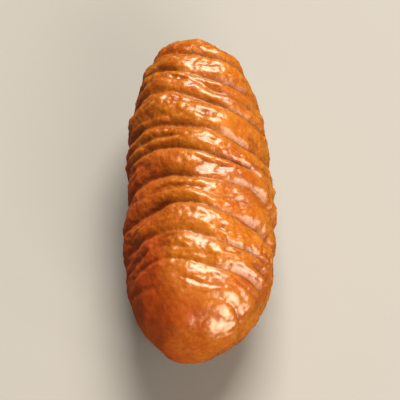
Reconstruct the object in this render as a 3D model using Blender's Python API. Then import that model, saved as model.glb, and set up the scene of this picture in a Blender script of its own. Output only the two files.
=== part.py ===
"""One zainab finger: a small fried semolina pastry, pressed into cross ridges and soaked in syrup.

Metres, +Z up. The long axis lies along Y, with the plump tip at -Y and the tapered tip at +Y.
The origin is under the middle of the pastry, on the small flat that it rests on.

The body is a spindle, bent a little. A point of its skin is found by two numbers: its travel, the
share of the way from the tapered tip (0) to the plump tip (1), and its angle round the long axis,
0 at +X and 90 degrees on top. The ridges are even in travel, and then stray along the body together
with the rings of the mesh, so that every groove runs along a ring. The mesh's columns turn round the
body with the lap in the same way, so that its edge runs along a column.
"""

import math

import bmesh
import bpy
import numpy as np
from mathutils import Matrix, Vector, noise

MM = 0.001

# The body, before its relief
LENGTH = 59.0 * MM
WIDTH = 23.6 * MM
HEIGHT = 22.0 * MM
TAPER_REACH = 0.60 * LENGTH    # from the thickest place to the tapered tip
TAPER_FULLNESS = 3.2           # power of the outline there: 2 is an ellipse, more is blunter
TAPER_NARROWING = 0.14         # share of the thickness lost on the way to the tapered tip
PLUMP_FULLNESS = 2.45
SIDE_BOW = 1.2 * MM            # the belly leans this far towards +X
TIP_LIFT = 1.7 * MM            # both tips curl up this far

# The pressed ridges
RIDGES = 13
RIDGE_DEPTH = 1.0 * MM
RIDGE_TILT = 0.34              # lean of the ridges across the body, in ridges
RIDGE_STRAY = 0.27             # how far they wander along the body, in ridges
STRAY_AROUND = 15.0 * MM       # the size of that wandering, round the body and along it
STRAY_ALONG = 8.0 * MM
STRAY_FADE = 0.20              # the travel over which it dies out at each tip
RIDGE_SKEW = 0.30              # makes the side towards the plump tip the steeper one
GROOVE_ROUNDING = 0.14         # 0 is a knife-sharp groove between two ridges
GROOVE_NARROWNESS = 1.5        # 1 is a plain V between round crests, more is narrower
PATCH_SIZE = 9.0 * MM          # where the press bit deeper or less deep
PATCH_SHARE = 0.45
SIDE_SHARE = 0.32              # it bit this much deeper on the +X side, and less deep on the other
TAPER_FADE = (0.04, 0.14)      # the travel over which the ridges die out at each tip
PLUMP_FADE = (0.04, 0.28)
PLUMP_LEAN = 0.14              # on the -X side they die out this much further from the plump tip
UNDERSIDE = (0.45, 0.90)       # how far down the skin faces where the underside starts and is full
UNDERSIDE_KEEP = 0.30          # what is left of the ridges there

# Ridges that split in two: which ridge, the angles between which it is split, and how deep
SPLITS = (
    (3, 15, 95, 0.55), (5, 100, 190, 0.6), (7, 35, 105, 0.5),
    (9, -20, 50, 0.6), (10, 110, 165, 0.45),
)
SPLIT_WIDTH = 0.30             # of a ridge
SPLIT_RUN_OUT = 18.0           # degrees over which a split closes at each end

# The lap where the rolled dough closed on itself, low on the +X side
LAP_ANGLE = -36.0              # half way along
LAP_TWIST = 60.0               # from the tapered tip to the plump tip, where it is highest
LAP_WANDER = 7.0
LAP_DEPTH = 0.55 * MM          # of the upper layer over the skin, and of the crease under its edge
LAP_EDGE = 0.5 * MM            # how round that edge is
LAP_EASE = 2.6 * MM            # how far each side takes to ease back to the skin
LAP_TAPER_FADE = (0.06, 0.20)  # the travel over which it dies out at each tip
LAP_PLUMP_FADE = (0.20, 0.42)

# Unevenness from rolling and frying
LUMP_SIZE = 10.0 * MM
LUMP_HEIGHT = 0.55 * MM
BUMP_SIZE = 3.4 * MM
BUMP_HEIGHT = 0.20 * MM

# The flat that the pastry rests on, and the calm patch round it
FLAT_DEPTH = 0.6 * MM
FLAT_MIDDLE = 3.5 * MM         # from the thickest place towards the tapered tip
FLAT_REACH = (13.0 * MM, 19.0 * MM)
FLAT_FACING = (0.75, 0.95)     # how far down the skin faces where the patch starts, and where it is full
FLAT_KEEP = 0.05               # what is left of all relief there

# The mesh
STEPS_PER_RIDGE = 7
STEPS_AROUND = 54
OUTLINE_POINTS = 1201


def fade(value, start, end):
    """0 up to start, 1 from end, smooth between."""
    share = min(max((value - start) / (end - start), 0.0), 1.0)
    return share * share * (3 - 2 * share)


def field(place, size, seed):
    """Smooth noise from about -1 to 1 with lumps of the given size."""
    return 1.6 * noise.noise(place / size + Vector((seed, -seed, 2.3 * seed)))


def body_outline():
    """The smooth body's outline at even steps of travel: y, radius share, and the normal's two parts."""
    t = np.linspace(0, math.pi, OUTLINE_POINTS)
    tapered = t < math.pi / 2
    power = np.where(tapered, 2 / TAPER_FULLNESS, 2 / PLUMP_FULLNESS)
    reach = np.where(tapered, TAPER_REACH, LENGTH - TAPER_REACH)
    y = np.sign(np.cos(t)) * reach * np.abs(np.cos(t)) ** power
    narrowing = np.where(tapered, TAPER_NARROWING, 0) * (y / reach) ** 2
    radius = np.abs(np.sin(t)) ** power * (1 - narrowing)
    half_thick = (WIDTH + HEIGHT) / 4
    skin = np.concatenate([[0], np.cumsum(np.hypot(np.diff(y), half_thick * np.diff(radius)))])
    travel = np.linspace(0, 1, OUTLINE_POINTS)
    y = np.interp(travel * skin[-1], skin, y)
    radius = np.interp(travel * skin[-1], skin, radius)
    out = -np.gradient(y)
    along = half_thick * np.gradient(radius)
    size = np.hypot(out, along)
    return travel, np.column_stack([y, radius, out / size, along / size])


def strayed(share, angle):
    """The travel of the ring point at this share of the rings: the ridges lean and wander along the body."""
    around = Vector((math.cos(angle), math.sin(angle), 0)) * WIDTH / 2 / STRAY_AROUND
    place = around + Vector((0, 0, share * LENGTH / STRAY_ALONG))
    stray = RIDGE_TILT * math.cos(angle) + RIDGE_STRAY * field(place, 1, 3.1)
    return share + stray / RIDGES * fade(share, 0, STRAY_FADE) * fade(1 - share, 0, STRAY_FADE)


def turned(share, turn):
    """The angle of the column point that is turned this far round: the lap climbs and wanders."""
    wander = LAP_WANDER * field(Vector((0, share * LENGTH, 0)), LUMP_SIZE, 5.2)
    return turn + math.radians(LAP_TWIST * (share - 0.5) + wander)


def groove(phase):
    """Depth of a groove, 1 at whole numbers of phase and 0 on the crest half way between."""
    turn = 2 * math.pi * phase
    turn += RIDGE_SKEW * math.sin(turn)
    crest = math.hypot(math.sin(turn / 2), GROOVE_ROUNDING) / math.hypot(1, GROOVE_ROUNDING)
    return max(0.0, 1 - crest) ** GROOVE_NARROWNESS


def split(phase, angle):
    """Depth of the short groove along a split ridge's crest."""
    depth = 0.0
    for ridge, start, end, share in SPLITS:
        off = (phase - ridge - 0.5) / SPLIT_WIDTH
        degrees = (math.degrees(angle) + 90) % 360 - 90
        here = fade(degrees, start, start + SPLIT_RUN_OUT) * (1 - fade(degrees, end - SPLIT_RUN_OUT, end))
        depth += share * here * math.exp(-4 * off * off)
    return depth


def press_strength(share, angle, place):
    """How deep the press bit here, from 0 to about 1."""
    lean = PLUMP_LEAN * (1 - math.cos(angle)) / 2
    tips = fade(share, *TAPER_FADE) * fade(1 - share - lean, *PLUMP_FADE)
    underneath = fade(-math.sin(angle), *UNDERSIDE)
    patch = 1 + PATCH_SHARE * field(place, PATCH_SIZE, 7.7) + SIDE_SHARE * math.cos(angle)
    return tips * (1 - (1 - UNDERSIDE_KEEP) * underneath) * patch


def lap(share, turn):
    """The closing lap: a step down from the upper layer's edge, from which both sides ease to the skin."""
    across = (turn - math.radians(LAP_ANGLE)) * (WIDTH + HEIGHT) / 4
    tips = fade(share, *LAP_TAPER_FADE) * fade(1 - share, *LAP_PLUMP_FADE)
    return LAP_DEPTH * math.tanh(across / LAP_EDGE) * math.exp(-abs(across) / LAP_EASE) * tips


def relief(share, turn, angle, place):
    """Height of the skin over the smooth body."""
    phase = share * RIDGES
    pressed = groove(phase) + split(phase, angle)
    height = LUMP_HEIGHT * field(place, LUMP_SIZE, 1.3)
    height += BUMP_HEIGHT * field(place, BUMP_SIZE, 9.4)
    height += lap(share, turn)
    height -= RIDGE_DEPTH * pressed * press_strength(share, angle, place)
    resting = fade(-math.sin(angle), *FLAT_FACING) * (1 - fade(abs(place.y - FLAT_MIDDLE), *FLAT_REACH))
    return height * (1 - (1 - FLAT_KEEP) * resting)


def spine(y):
    """How far the body's axis is bent sideways and upwards at y."""
    reach = TAPER_REACH if y > 0 else LENGTH - TAPER_REACH
    off = (y / reach) ** 2
    return Vector((SIDE_BOW * (1 - off), 0, TIP_LIFT * off))


def finger_mesh():
    """A sphere's rings and columns, moved out to the pastry's skin."""
    travels, outline = body_outline()
    bm = bmesh.new()
    bmesh.ops.create_uvsphere(
        bm, u_segments=STEPS_AROUND, v_segments=RIDGES * STEPS_PER_RIDGE, radius=1,
        matrix=Matrix.Rotation(-math.pi / 2, 4, "X"),
    )
    rest = -HEIGHT / 2 + FLAT_DEPTH
    for v in bm.verts:
        share = math.acos(max(-1.0, min(1.0, v.co.y))) / math.pi
        turn = math.atan2(v.co.z, v.co.x)
        angle = turned(share, turn)
        travel = strayed(share, angle)
        y, radius, out, along = (np.interp(travel, travels, column) for column in outline.T)
        round_x, round_z = math.cos(angle), math.sin(angle)
        place = Vector((radius * WIDTH / 2 * round_x, y, radius * HEIGHT / 2 * round_z))
        normal = Vector((out * round_x, along, out * round_z))
        v.co = place + normal * relief(share, turn, angle, place) + spine(y)
        v.co.z = max(v.co.z, rest)
    low = Vector(min(v.co[i] for v in bm.verts) for i in range(3))
    high = Vector(max(v.co[i] for v in bm.verts) for i in range(3))
    bmesh.ops.translate(bm, verts=bm.verts, vec=-Vector(((low.x + high.x) / 2, (low.y + high.y) / 2, low.z)))
    mesh = bpy.data.meshes.new("finger")
    bm.to_mesh(mesh)
    bm.free()
    mesh.shade_smooth()
    return mesh


def crust_material():
    material = bpy.data.materials.new("syrup_glazed_crust")
    material.use_nodes = True
    shader = material.node_tree.nodes["Principled BSDF"]
    shader.inputs["Base Color"].default_value = (0.56, 0.17, 0.03, 1)
    shader.inputs["Roughness"].default_value = 0.3
    shader.inputs["Metallic"].default_value = 0
    return material


def main():
    for obj in list(bpy.data.objects):
        bpy.data.objects.remove(obj)
    finger = bpy.data.objects.new("finger", finger_mesh())
    finger.data.materials.append(crust_material())
    bpy.context.scene.collection.objects.link(finger)


main()
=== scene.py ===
import math

import bmesh
import bpy
import numpy as np
from mathutils import Matrix, Vector, noise


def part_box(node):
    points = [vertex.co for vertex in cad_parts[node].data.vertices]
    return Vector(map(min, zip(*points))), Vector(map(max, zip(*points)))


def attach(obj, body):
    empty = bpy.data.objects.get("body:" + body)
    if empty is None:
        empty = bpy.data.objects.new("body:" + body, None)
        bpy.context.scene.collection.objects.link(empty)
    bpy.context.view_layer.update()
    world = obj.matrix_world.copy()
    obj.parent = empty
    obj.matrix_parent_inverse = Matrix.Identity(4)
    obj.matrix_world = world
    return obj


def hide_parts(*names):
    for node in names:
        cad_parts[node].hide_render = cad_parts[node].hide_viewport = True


# One zainab finger: fried semolina dough, pressed into cross ridges and soaked in amber syrup.
# Its tapered tip points to +Y and its plump tip to -Y. Sizes are in metres.
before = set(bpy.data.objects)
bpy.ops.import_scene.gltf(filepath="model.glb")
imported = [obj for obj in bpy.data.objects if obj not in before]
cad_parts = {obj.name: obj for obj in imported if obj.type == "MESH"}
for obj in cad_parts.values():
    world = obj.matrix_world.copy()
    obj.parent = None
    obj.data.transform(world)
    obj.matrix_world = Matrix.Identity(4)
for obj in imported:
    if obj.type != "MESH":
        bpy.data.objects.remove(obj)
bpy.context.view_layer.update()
mm = 0.001


class Wire:
    # a shader socket that does sums: each operator adds a Math node
    def __init__(self, finish, socket):
        self.finish = finish
        self.socket = socket

    def work(self, operation, first, second):
        return self.finish.add("Math", {"operation": operation}, {0: first, 1: second})

    def __add__(self, other):
        return self.work("ADD", self, other)

    def __radd__(self, other):
        return self.work("ADD", other, self)

    def __sub__(self, other):
        return self.work("SUBTRACT", self, other)

    def __rsub__(self, other):
        return self.work("SUBTRACT", other, self)

    def __mul__(self, other):
        return self.work("MULTIPLY", self, other)

    def __rmul__(self, other):
        return self.work("MULTIPLY", other, self)


class Finish:
    # one material: add() makes any node, and the methods under it the ones that come up most
    def __init__(self, name):
        self.material = bpy.data.materials.new(name)
        self.material.use_nodes = True
        self.tree = self.material.node_tree
        self.shader = self.tree.nodes["Principled BSDF"]

    def plug(self, socket, value):
        if isinstance(value, Wire):
            self.tree.links.new(value.socket, socket)
        else:
            socket.default_value = value

    def add(self, kind, settings, sockets, out=0):
        node = self.tree.nodes.new("ShaderNode" + kind)
        for name, value in settings.items():
            setattr(node, name, value)
        for name, value in sockets.items():
            self.plug(node.inputs[name], value)
        return Wire(self, node.outputs[out])

    def mix(self, share, first, second):
        # sockets 0, 6 and 7 are the factor and the two colours, and output 2 is the colour
        return self.add("Mix", {"data_type": "RGBA"}, {0: share, 6: first, 7: second}, 2)

    def rise(self, value, start, end):
        # 0 up to start, 1 from end, smooth between
        return self.add("MapRange", {"interpolation_type": "SMOOTHSTEP"}, {0: value, 1: start, 2: end})

    def cloud(self, spot, size, detail, roughness):
        sockets = {"Vector": spot, "Scale": 1 / size, "Detail": detail, "Roughness": roughness}
        return self.add("TexNoise", {}, sockets)

    def mark(self, name):
        # a number that the mesh holds for each of its points
        return self.add("Attribute", {"attribute_name": name}, {}, "Fac")

    def set(self, sockets):
        for name, value in sockets.items():
            self.plug(self.shader.inputs[name], value)


def fade(value, start, end):
    # 0 up to start, 1 from end, smooth between
    share = min(max((value - start) / (end - start), 0.0), 1.0)
    return share * share * (3 - 2 * share)


def field(place, size, seed):
    # smooth noise in lumps of that size; the swing brings it to about -1 to 1, and the seed moves it away
    swing = 1.6
    return swing * noise.noise(place / size + Vector((seed, -seed, 2.3 * seed)))


def addObject(name, bm):
    mesh = bpy.data.meshes.new(name)
    bm.to_mesh(mesh)
    bm.free()
    added = bpy.data.objects.new(name, mesh)
    bpy.context.scene.collection.objects.link(added)
    return added


# The pastry is a bent spindle. A point of its skin is found by its travel, the share of the way from
# the tapered tip (0) to the plump tip (1), and its angle round the long axis, 0 at +X and 90 on top.
dough = {
    # the rolled body
    "length": 59.0 * mm,
    "width": 23.6 * mm,
    "height": 22.0 * mm,
    "taperShare": 0.60,             # of the length, from the thickest place to the tapered tip
    "taperFullness": 3.2,           # power of the outline: 2 is an ellipse, more is blunter
    "taperNarrowing": 0.14,         # share of the thickness lost on the way to that tip
    "plumpFullness": 2.45,
    "sideBow": 1.2 * mm,            # the belly leans this far towards +X
    "tipLift": 1.7 * mm,            # and both tips curl up this far
    "lumpSize": 10.0 * mm,
    "lumpHeight": 0.55 * mm,
    "bumpSize": 3.4 * mm,
    "bumpHeight": 0.20 * mm,

    # the ridges that the press leaves
    "ridges": 13,
    "ridgeDepth": 1.0 * mm,
    "ridgeTilt": 0.34,              # how far they lean across the body, in ridges
    "ridgeStray": 0.27,             # how far they wander along it, in ridges
    "strayAround": 15.0 * mm,       # the size of that wandering, round the body and along it
    "strayAlong": 8.0 * mm,
    "strayFade": (0.0, 0.20),
    "ridgeSkew": 0.30,              # makes the side towards the plump tip the steeper one
    "grooveRounding": 0.14,         # 0 is a knife-sharp groove
    "grooveNarrowness": 1.5,        # 1 is a plain V between round crests
    "patchSize": 9.0 * mm,          # where the press bit deeper or less deep
    "patchShare": 0.45,
    "sideShare": 0.32,              # it bit deeper on the +X side, and less deep on the other
    "pressTaperFade": (0.04, 0.14),  # the travel from each tip over which the ridges grow
    "pressPlumpFade": (0.04, 0.28),
    "plumpLean": 0.14,              # on the -X side they die out this much further from the plump tip
    "underside": (0.45, 0.90),      # how far down the skin faces where the underside starts and is full
    "undersideKeep": 0.30,

    # ridges that split in two: which one, the angles between which it is split, and how deep
    "splits": (
        (3, 15, 95, 0.55), (5, 100, 190, 0.6), (7, 35, 105, 0.5),
        (9, -20, 50, 0.6), (10, 110, 165, 0.45),
    ),
    "splitWidth": 0.30,             # of a ridge
    "splitRunOut": 18.0,            # degrees over which a split closes at each end

    # the edge where the rolled dough closed on itself
    "lapAngle": -36.0,              # half way along
    "lapTwist": 60.0,               # from tip to tip, in degrees, with the plump one the higher
    "lapWander": 7.0,
    "lapDepth": 0.55 * mm,
    "lapEdge": 0.5 * mm,            # how round it is
    "lapEase": 2.6 * mm,            # how far each side takes to ease back to the skin
    "lapTaperFade": (0.06, 0.20),
    "lapPlumpFade": (0.20, 0.42),

    # the flat that it rests on, and the calm patch round it
    "flatDepth": 0.6 * mm,
    "flatMiddle": 3.5 * mm,
    "flatReach": (13.0 * mm, 19.0 * mm),
    "flatFacing": (0.75, 0.95),
    "flatKeep": 0.05,               # what is left of all relief there

    # creases along the ridges, beads of dough, semolina grain and fried blisters
    "creaseLength": 6.0 * mm,
    "creasePitch": 1.7 * mm,
    "creaseDepth": 0.34 * mm,
    "creaseFrom": (0.05, 0.95),     # the noise that cuts them: none up to the first, all from the second
    "creaseTips": (0.03, 0.20),
    "skinLength": 1.25,             # from tip to tip over the skin, in lengths of the body
    "beadSize": 1.9 * mm,
    "beadHeight": 0.13 * mm,
    "grainSize": 0.8 * mm,
    "grainHeight": 0.10 * mm,
    "blisterSize": 2.0 * mm,
    "blisterHeight": 0.16 * mm,
    "blisterDraw": 37.7,            # spreads the cells' centres, so that each draws its own luck
    "blisterLuck": 0.25,            # that luck is from -1 to 1, and a cell above this has none
    "blisterReach": 0.2,            # this plus the luck, without its sign, is a blister's reach in cells
    "grooveKeep": 0.45,             # what is left of it all where syrup fills a groove
    "smoothTip": (0.10, 0.32),      # the travel from the plump tip over which it roughens
    "smoothKeep": 0.4,

    # the browner, darker side at -X, painted shade of that flank as well as frying in the oil: how far
    # round it starts and is full
    "friedSide": (0.00, 0.95),
    "friedLean": 0.9,               # how much sooner it starts at the plump tip than at the other
    "friedSize": 8.0 * mm,
    "friedStray": 0.25,

    # each noise has a seed of its own
    "seeds": {
        "stray": 3.1, "lap": 5.2, "patch": 7.7, "lump": 1.3, "bump": 9.4,
        "crease": 4.4, "bead": 2.2, "grain": 6.3, "fried": 8.1,
    },
    # turns the fine noise off the body's own directions, which its lattice would show in
    "grainTurn": (0.9, (1, 2, 3)),

    "stepsAround": 296,
    "stepsPerRidge": 25,
    "quickStepsAround": 150,
    "quickStepsPerRidge": 13,
    "outlinePoints": 1201,
}
seeds = dough["seeds"]
taperReach = dough["taperShare"] * dough["length"]
plumpReach = dough["length"] - taperReach
halfThick = (dough["width"] + dough["height"]) / 4
grainTurn = Matrix.Rotation(dough["grainTurn"][0], 3, Vector(dough["grainTurn"][1]))


def bodyOutline():
    # y, radius share and the normal's two parts, at even steps of travel along the skin
    t = np.linspace(0, math.pi, dough["outlinePoints"])
    tapered = t < math.pi / 2
    power = np.where(tapered, 2 / dough["taperFullness"], 2 / dough["plumpFullness"])
    reach = np.where(tapered, taperReach, plumpReach)
    y = np.sign(np.cos(t)) * reach * np.abs(np.cos(t)) ** power
    narrowing = np.where(tapered, dough["taperNarrowing"], 0) * (y / reach) ** 2
    radius = np.abs(np.sin(t)) ** power * (1 - narrowing)
    skin = np.concatenate([[0], np.cumsum(np.hypot(np.diff(y), halfThick * np.diff(radius)))])
    travel = np.linspace(0, 1, dough["outlinePoints"])
    y = np.interp(travel * skin[-1], skin, y)
    radius = np.interp(travel * skin[-1], skin, radius)
    out = -np.gradient(y)
    along = halfThick * np.gradient(radius)
    size = np.hypot(out, along)
    return travel, np.column_stack([y, radius, out / size, along / size])


def spine(y):
    # how far the axis is bent sideways and upwards
    off = (y / (taperReach if y > 0 else plumpReach)) ** 2
    return Vector((dough["sideBow"] * (1 - off), 0, dough["tipLift"] * off))


def strayed(share, angle):
    # the ridges lean and wander along the body, and take the mesh's rings with them
    around = Vector((math.cos(angle), math.sin(angle), 0)) * dough["width"] / 2 / dough["strayAround"]
    place = around + Vector((0, 0, share * dough["length"] / dough["strayAlong"]))
    inRidges = dough["ridgeTilt"] * math.cos(angle) + dough["ridgeStray"] * field(place, 1, seeds["stray"])
    stray = inRidges / dough["ridges"]
    return share + stray * fade(share, *dough["strayFade"]) * fade(1 - share, *dough["strayFade"])


def turned(share, turn):
    # the closing edge climbs and wanders, and takes the mesh's columns with it
    place = Vector((0, share * dough["length"], 0))
    wander = dough["lapWander"] * field(place, dough["lumpSize"], seeds["lap"])
    return turn + math.radians(dough["lapTwist"] * (share - 0.5) + wander)


def groove(phase):
    # 1 at whole numbers of phase, and 0 on the crest half way between
    turn = 2 * math.pi * phase
    turn += dough["ridgeSkew"] * math.sin(turn)
    rounding = dough["grooveRounding"]
    crest = math.hypot(math.sin(turn / 2), rounding) / math.hypot(1, rounding)
    return max(0.0, 1 - crest) ** dough["grooveNarrowness"]


def split(phase, angle):
    # the short grooves along the crests of the ridges that split
    depth = 0.0
    runOut = dough["splitRunOut"]
    degrees = (math.degrees(angle) + 90) % 360 - 90
    for ridge, start, end, share in dough["splits"]:
        off = (phase - ridge - 0.5) / dough["splitWidth"]
        here = fade(degrees, start, start + runOut) * (1 - fade(degrees, end - runOut, end))
        depth += share * here * math.exp(-4 * off * off)
    return depth


def pressStrength(share, angle, place):
    # how deep the press bit here, from 0 to about 1
    lean = dough["plumpLean"] * (1 - math.cos(angle)) / 2
    tips = fade(share, *dough["pressTaperFade"]) * fade(1 - share - lean, *dough["pressPlumpFade"])
    underneath = fade(-math.sin(angle), *dough["underside"])
    patch = 1 + dough["patchShare"] * field(place, dough["patchSize"], seeds["patch"])
    patch += dough["sideShare"] * math.cos(angle)
    return tips * (1 - (1 - dough["undersideKeep"]) * underneath) * patch


def closingEdge(share, turn):
    # a step down from the upper layer, from which both sides ease to the skin
    across = (turn - math.radians(dough["lapAngle"])) * halfThick
    tips = fade(share, *dough["lapTaperFade"]) * fade(1 - share, *dough["lapPlumpFade"])
    step = dough["lapDepth"] * math.tanh(across / dough["lapEdge"])
    return step * math.exp(-abs(across) / dough["lapEase"]) * tips


def creases(share, angle):
    # noise drawn out along the ridges, so what it cuts is long and thin
    around = Vector((math.cos(angle), math.sin(angle), 0)) * halfThick / dough["creaseLength"]
    along = share * dough["length"] * dough["skinLength"] / dough["creasePitch"]
    drawn = grainTurn @ (around + Vector((0, 0, along)))
    tips = fade(share, *dough["creaseTips"]) * fade(1 - share, *dough["creaseTips"])
    return -dough["creaseDepth"] * fade(field(drawn, 1, seeds["crease"]), *dough["creaseFrom"]) * tips


def blisters(place):
    # a dome on many of the cells, each with a reach of its own
    gaps, centres = noise.voronoi(place / dough["blisterSize"])
    luck = noise.cell(centres[0] * dough["blisterDraw"])
    if luck > dough["blisterLuck"]:
        return 0.0
    reach = dough["blisterReach"] + luck
    dome = max(0.0, 1 - (gaps[0] / reach) ** 2)
    return dough["blisterHeight"] * dome * dome


def grainKeep(share):
    # the plump tip is smoother than the rest
    return dough["smoothKeep"] + (1 - dough["smoothKeep"]) * fade(1 - share, *dough["smoothTip"])


def fineRelief(share, angle, place):
    turnedPlace = grainTurn @ place
    height = creases(share, angle) + blisters(turnedPlace)
    height += dough["beadHeight"] * field(turnedPlace, dough["beadSize"], seeds["bead"])
    height += dough["grainHeight"] * field(turnedPlace, dough["grainSize"], seeds["grain"])
    return height * grainKeep(share)


def relief(share, turn, angle, place):
    # height of the skin over the smooth body, how deep the press bit, and the fine relief alone
    phase = share * dough["ridges"]
    bite = (groove(phase) + split(phase, angle)) * pressStrength(share, angle, place)
    filled = (1 - dough["grooveKeep"]) * min(max(bite, 0.0), 1.0)
    fine = fineRelief(share, angle, place) * (1 - filled)
    height = dough["lumpHeight"] * field(place, dough["lumpSize"], seeds["lump"])
    height += dough["bumpHeight"] * field(place, dough["bumpSize"], seeds["bump"])
    height += closingEdge(share, turn) - dough["ridgeDepth"] * bite + fine
    offMiddle = abs(place.y - dough["flatMiddle"])
    resting = fade(-math.sin(angle), *dough["flatFacing"]) * (1 - fade(offMiddle, *dough["flatReach"]))
    return height * (1 - (1 - dough["flatKeep"]) * resting), bite, fine


def friedShare(place):
    # painted shade and frying: the -X side is made browner and darker, more so towards the plump tip, as
    # that flank lies in shade and lay in the oil, plump tip down
    under = -2 * place.x / dough["width"] - dough["friedLean"] * place.y / dough["length"]
    stray = dough["friedStray"] * field(place, dough["friedSize"], seeds["fried"])
    return fade(under + stray, *dough["friedSide"])


def makePastry():
    # a sphere's rings and columns, moved out to the pastry's skin
    travels, outline = bodyOutline()
    around = dough["stepsAround"]
    perRidge = dough["stepsPerRidge"]
    bm = bmesh.new()
    bmesh.ops.create_uvsphere(
        bm, u_segments=around, v_segments=dough["ridges"] * perRidge, radius=1,
        matrix=Matrix.Rotation(-math.pi / 2, 4, "X"),
    )
    grooved, raised, brownedShade, grainy = (
        bm.verts.layers.float.new(name) for name in ("grooved", "raised", "brownedShade", "grainy")
    )
    rest = -dough["height"] / 2 + dough["flatDepth"]
    for v in bm.verts:
        share = math.acos(max(-1.0, min(1.0, v.co.y))) / math.pi
        turn = math.atan2(v.co.z, v.co.x)
        angle = turned(share, turn)
        travel = strayed(share, angle)
        y, radius, out, along = (np.interp(travel, travels, column) for column in outline.T)
        roundX, roundZ = math.cos(angle), math.sin(angle)
        place = Vector((radius * dough["width"] / 2 * roundX, y, radius * dough["height"] / 2 * roundZ))
        normal = Vector((out * roundX, along, out * roundZ))
        height, bite, fine = relief(share, turn, angle, place)
        v[grooved] = bite
        v[raised] = fine / dough["beadHeight"]
        v[brownedShade] = friedShare(place)
        v[grainy] = grainKeep(share)
        v.co = place + normal * height + spine(y)
        v.co.z = max(v.co.z, rest)

    # centred on the solid, and standing where it stands
    low = Vector(min(v.co[i] for v in bm.verts) for i in range(3))
    high = Vector(max(v.co[i] for v in bm.verts) for i in range(3))
    cadLow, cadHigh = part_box("finger")
    shift = (cadLow + cadHigh) / 2 - (low + high) / 2
    shift.z = cadLow.z - low.z
    bmesh.ops.translate(bm, verts=bm.verts, vec=shift)
    made = addObject("pastry", bm)
    made.data.shade_smooth()
    print("pastry shaped,", len(made.data.polygons), "faces")
    return made


crust = {
    "golden": (0.42, 0.142, 0.010, 1),
    "amber": (0.36, 0.095, 0.005, 1),
    "toasted": (0.27, 0.044, 0.002, 1),
    # painted shade of the -X flank as well as fried browning
    "fried": (0.31, 0.033, 0.001, 1),
    # painted shade in grooves and hollows as well as pooled syrup
    "syrup": (0.18, 0.020, 0.001, 1),
    "pale": (0.60, 0.28, 0.05, 1),
    # size, detail and roughness of the noise
    "blotch": (8.0 * mm, 4.0, 0.5),
    "speck": (0.9 * mm, 3.0, 0.6),
    "grainSize": 0.55 * mm,
    "speckled": 0.15,               # how much the specks fray the dark blotches
    # colours laid over the golden one: by which mask, where it starts and is full, how much, and which
    "tones": (
        ("blotch", 0.35, 0.65, 1.0, "amber"),
        ("darkBlotch", 0.60, 0.78, 0.6, "toasted"),
        ("grainLuck", 0.70, 0.95, 0.30, "toasted"),
        ("grainLuck", 0.30, 0.05, 0.25, "pale"),
        ("raised", 0.2, 1.8, 0.25, "pale"),
        # darker in the hollows of the fine relief: painted shade and syrup
        ("raised", -0.5, -2.2, 0.4, "syrup"),
    ),
    "friedShare": 0.85,
    "pooledSyrupShade": (0.05, 0.85),         # how deep a groove is where the syrup colour starts and is full: painted shade in the groove as well as pooled syrup
    "pooledSyrupShadeShare": 0.35,
    "bumpStrength": 0.8,
    "bumpHeight": 0.11 * mm,
    # the gloss is duller deep in the grooves, on the fried side with its painted shade and where the crust
    # is seen edge-on
    "deep": (0.1, 0.8),
    "edgeOn": (0.35, 0.85),
    "roughness": 0.28,
    "deepRoughness": 0.20,
    "speckRoughness": 0.15,
    "friedRoughness": 0.25,
    "friedEdgeRoughness": 0.45,
    "coat": 0.75,
    "deepCoatLoss": 0.5,
    "friedCoatLoss": 0.6,
    "edgeCoatLoss": 0.9,
    # the same all over
    "even": {
        "IOR": 1.5,
        "Specular IOR Level": 0.3,
        "Specular Tint": (1.0, 0.88, 0.70, 1),
        "Subsurface Weight": 0.45,
        "Subsurface Radius": (1.0, 0.28, 0.06),
        "Subsurface Scale": 2.2 * mm,
        "Coat Roughness": 0.28,
        "Coat IOR": 1.5,
        "Coat Tint": (1.0, 0.85, 0.6, 1),
    },
}


def glazedCrust():
    finish = Finish("glazedCrust")
    grooved, raised, brownedShade, grainy = (
        finish.mark(name) for name in ("grooved", "raised", "brownedShade", "grainy")
    )
    spot = finish.add("TexCoord", {}, {}, "Object")
    blotch = finish.cloud(spot, *crust["blotch"])
    speck = finish.cloud(spot, *crust["speck"])
    grains = {"Vector": spot, "Scale": 1 / crust["grainSize"]}
    grainDome = 1 - finish.add("TexVoronoi", {}, grains)
    grainColour = finish.add("TexVoronoi", {}, grains, "Color")
    masks = {
        "blotch": blotch,
        "darkBlotch": blotch + crust["speckled"] * speck,
        "grainLuck": finish.add("SeparateColor", {}, {0: grainColour}),
        "raised": raised,
    }

    colour = crust["golden"]
    for mask, start, end, share, tone in crust["tones"]:
        colour = finish.mix(finish.rise(masks[mask], start, end) * share, colour, crust[tone])
    # painted shade: the -X flank turns browner and darker, as frying too
    colour = finish.mix(brownedShade * crust["friedShare"], colour, crust["fried"])
    # painted shade: the grooves darker, as pooled syrup too
    pooledSyrupShade = finish.rise(grooved, *crust["pooledSyrupShade"])
    colour = finish.mix(pooledSyrupShade * crust["pooledSyrupShadeShare"], colour, crust["syrup"])

    deep = finish.rise(grooved, *crust["deep"])
    edgeOn = finish.rise(finish.add("LayerWeight", {}, {}, "Facing"), *crust["edgeOn"])
    roughness = crust["roughness"] + crust["deepRoughness"] * deep
    roughness += crust["speckRoughness"] * (speck - 0.5)
    roughness += brownedShade * (crust["friedRoughness"] + crust["friedEdgeRoughness"] * edgeOn)
    coat = crust["coat"] - crust["deepCoatLoss"] * deep
    coat *= 1 - crust["friedCoatLoss"] * brownedShade
    coat *= 1 - crust["edgeCoatLoss"] * edgeOn
    bump = finish.add("Bump", {}, {
        "Strength": crust["bumpStrength"],
        "Distance": crust["bumpHeight"],
        "Height": grainy * (grainDome + speck),
    })
    finish.set({"Base Color": colour, "Roughness": roughness, "Coat Weight": coat, "Normal": bump})
    finish.set(crust["even"])
    print("crust glazed")
    return finish.material


pastry = makePastry()
pastry.data.materials.append(glazedCrust())
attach(pastry, "root")
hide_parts("finger")


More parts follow.
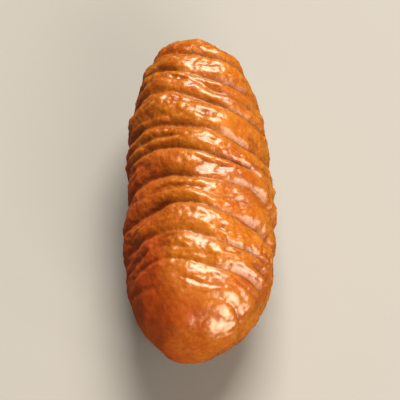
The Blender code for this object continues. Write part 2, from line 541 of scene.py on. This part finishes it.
# Turns are in degrees round from the plump tip towards +X, and rises are degrees up.
studio = {
    "floor": {"Base Color": (0.33, 0.315, 0.29, 1), "Roughness": 0.9, "Specular IOR Level": 0.0},
    "floorSize": 6.0,
    "floorDrop": 0.05 * mm,         # under the pastry, so that the two don't flicker
    "sky": (1.0, 0.86, 0.70, 1),
    "skyStrength": 0.08,
    "cameraTurn": 0.0,
    "cameraRise": 54.0,
    "cameraAway": 0.60,
    "lens": 340.0,
    "clip": (0.01, 50),
    # name, turn, rise, distance, width, height, watts, colour
    "lamps": (
        ("key", 166, 52, 0.80, 0.53, 0.53, 15.2, (1.0, 0.95, 0.87)),
        ("fill", 24, 22, 0.60, 0.30, 0.30, 3.9, (1.0, 0.92, 0.80)),
        ("side", 54, 20, 0.20, 0.05, 0.13, 0.10, (1.0, 0.92, 0.80)),
        ("gleam", 54, 19, 0.30, 0.20, 0.30, 2.6, (1.0, 0.86, 0.70)),
    ),
    "noGloss": "fill",              # the lamp that shows in no reflection
    "glossOnly": "gleam",           # and the one that shows in nothing else
}


def aim(held, target, turn, rise, away):
    # stands a camera or lamp off the target, looking back at it
    a, e = math.radians(turn), math.radians(rise)
    back = Vector((math.sin(a) * math.cos(e), -math.cos(a) * math.cos(e), math.sin(e)))
    held.location = target + back * away
    held.rotation_mode = "QUATERNION"
    held.rotation_quaternion = (-back).to_track_quat("-Z", "Y")
    bpy.context.scene.collection.objects.link(held)


def makeFloor():
    finish = Finish("paleTable")
    finish.set(studio["floor"])
    bm = bmesh.new()
    bmesh.ops.create_grid(
        bm, x_segments=1, y_segments=1, size=studio["floorSize"] / 2,
        matrix=Matrix.Translation((0, 0, -studio["floorDrop"])),
    )
    floor = addObject("floor", bm)
    floor.data.materials.append(finish.material)
    floor.visible_glossy = False    # a pale floor would veil the dark flanks


def makeLight(target):
    for name, turn, rise, away, width, height, watts, colour in studio["lamps"]:
        light = bpy.data.lights.new(name, "AREA")
        light.shape = "RECTANGLE"
        light.size, light.size_y = width, height
        light.energy, light.color = watts, colour
        lamp = bpy.data.objects.new(name, light)
        lamp.visible_camera = False
        lamp.visible_glossy = name != studio["noGloss"]
        lamp.visible_diffuse = name != studio["glossOnly"]
        aim(lamp, target, turn, rise, away)
    room = bpy.data.worlds.new("room")
    room.use_nodes = True
    sky = room.node_tree.nodes["Background"]
    sky.inputs["Color"].default_value = studio["sky"]
    sky.inputs["Strength"].default_value = studio["skyStrength"]
    bpy.context.scene.world = room


def makeCamera(target):
    lens = bpy.data.cameras.new("camera")
    lens.lens = studio["lens"]
    lens.clip_start, lens.clip_end = studio["clip"]
    camera = bpy.data.objects.new("camera", lens)
    aim(camera, target, studio["cameraTurn"], studio["cameraRise"], studio["cameraAway"])
    bpy.context.scene.camera = camera


low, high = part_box("finger")
middle = (low + high) / 2
makeFloor()
makeLight(middle)
makeCamera(middle)
bpy.context.scene.view_settings.view_transform = "Standard"
print("floor, light and camera placed")
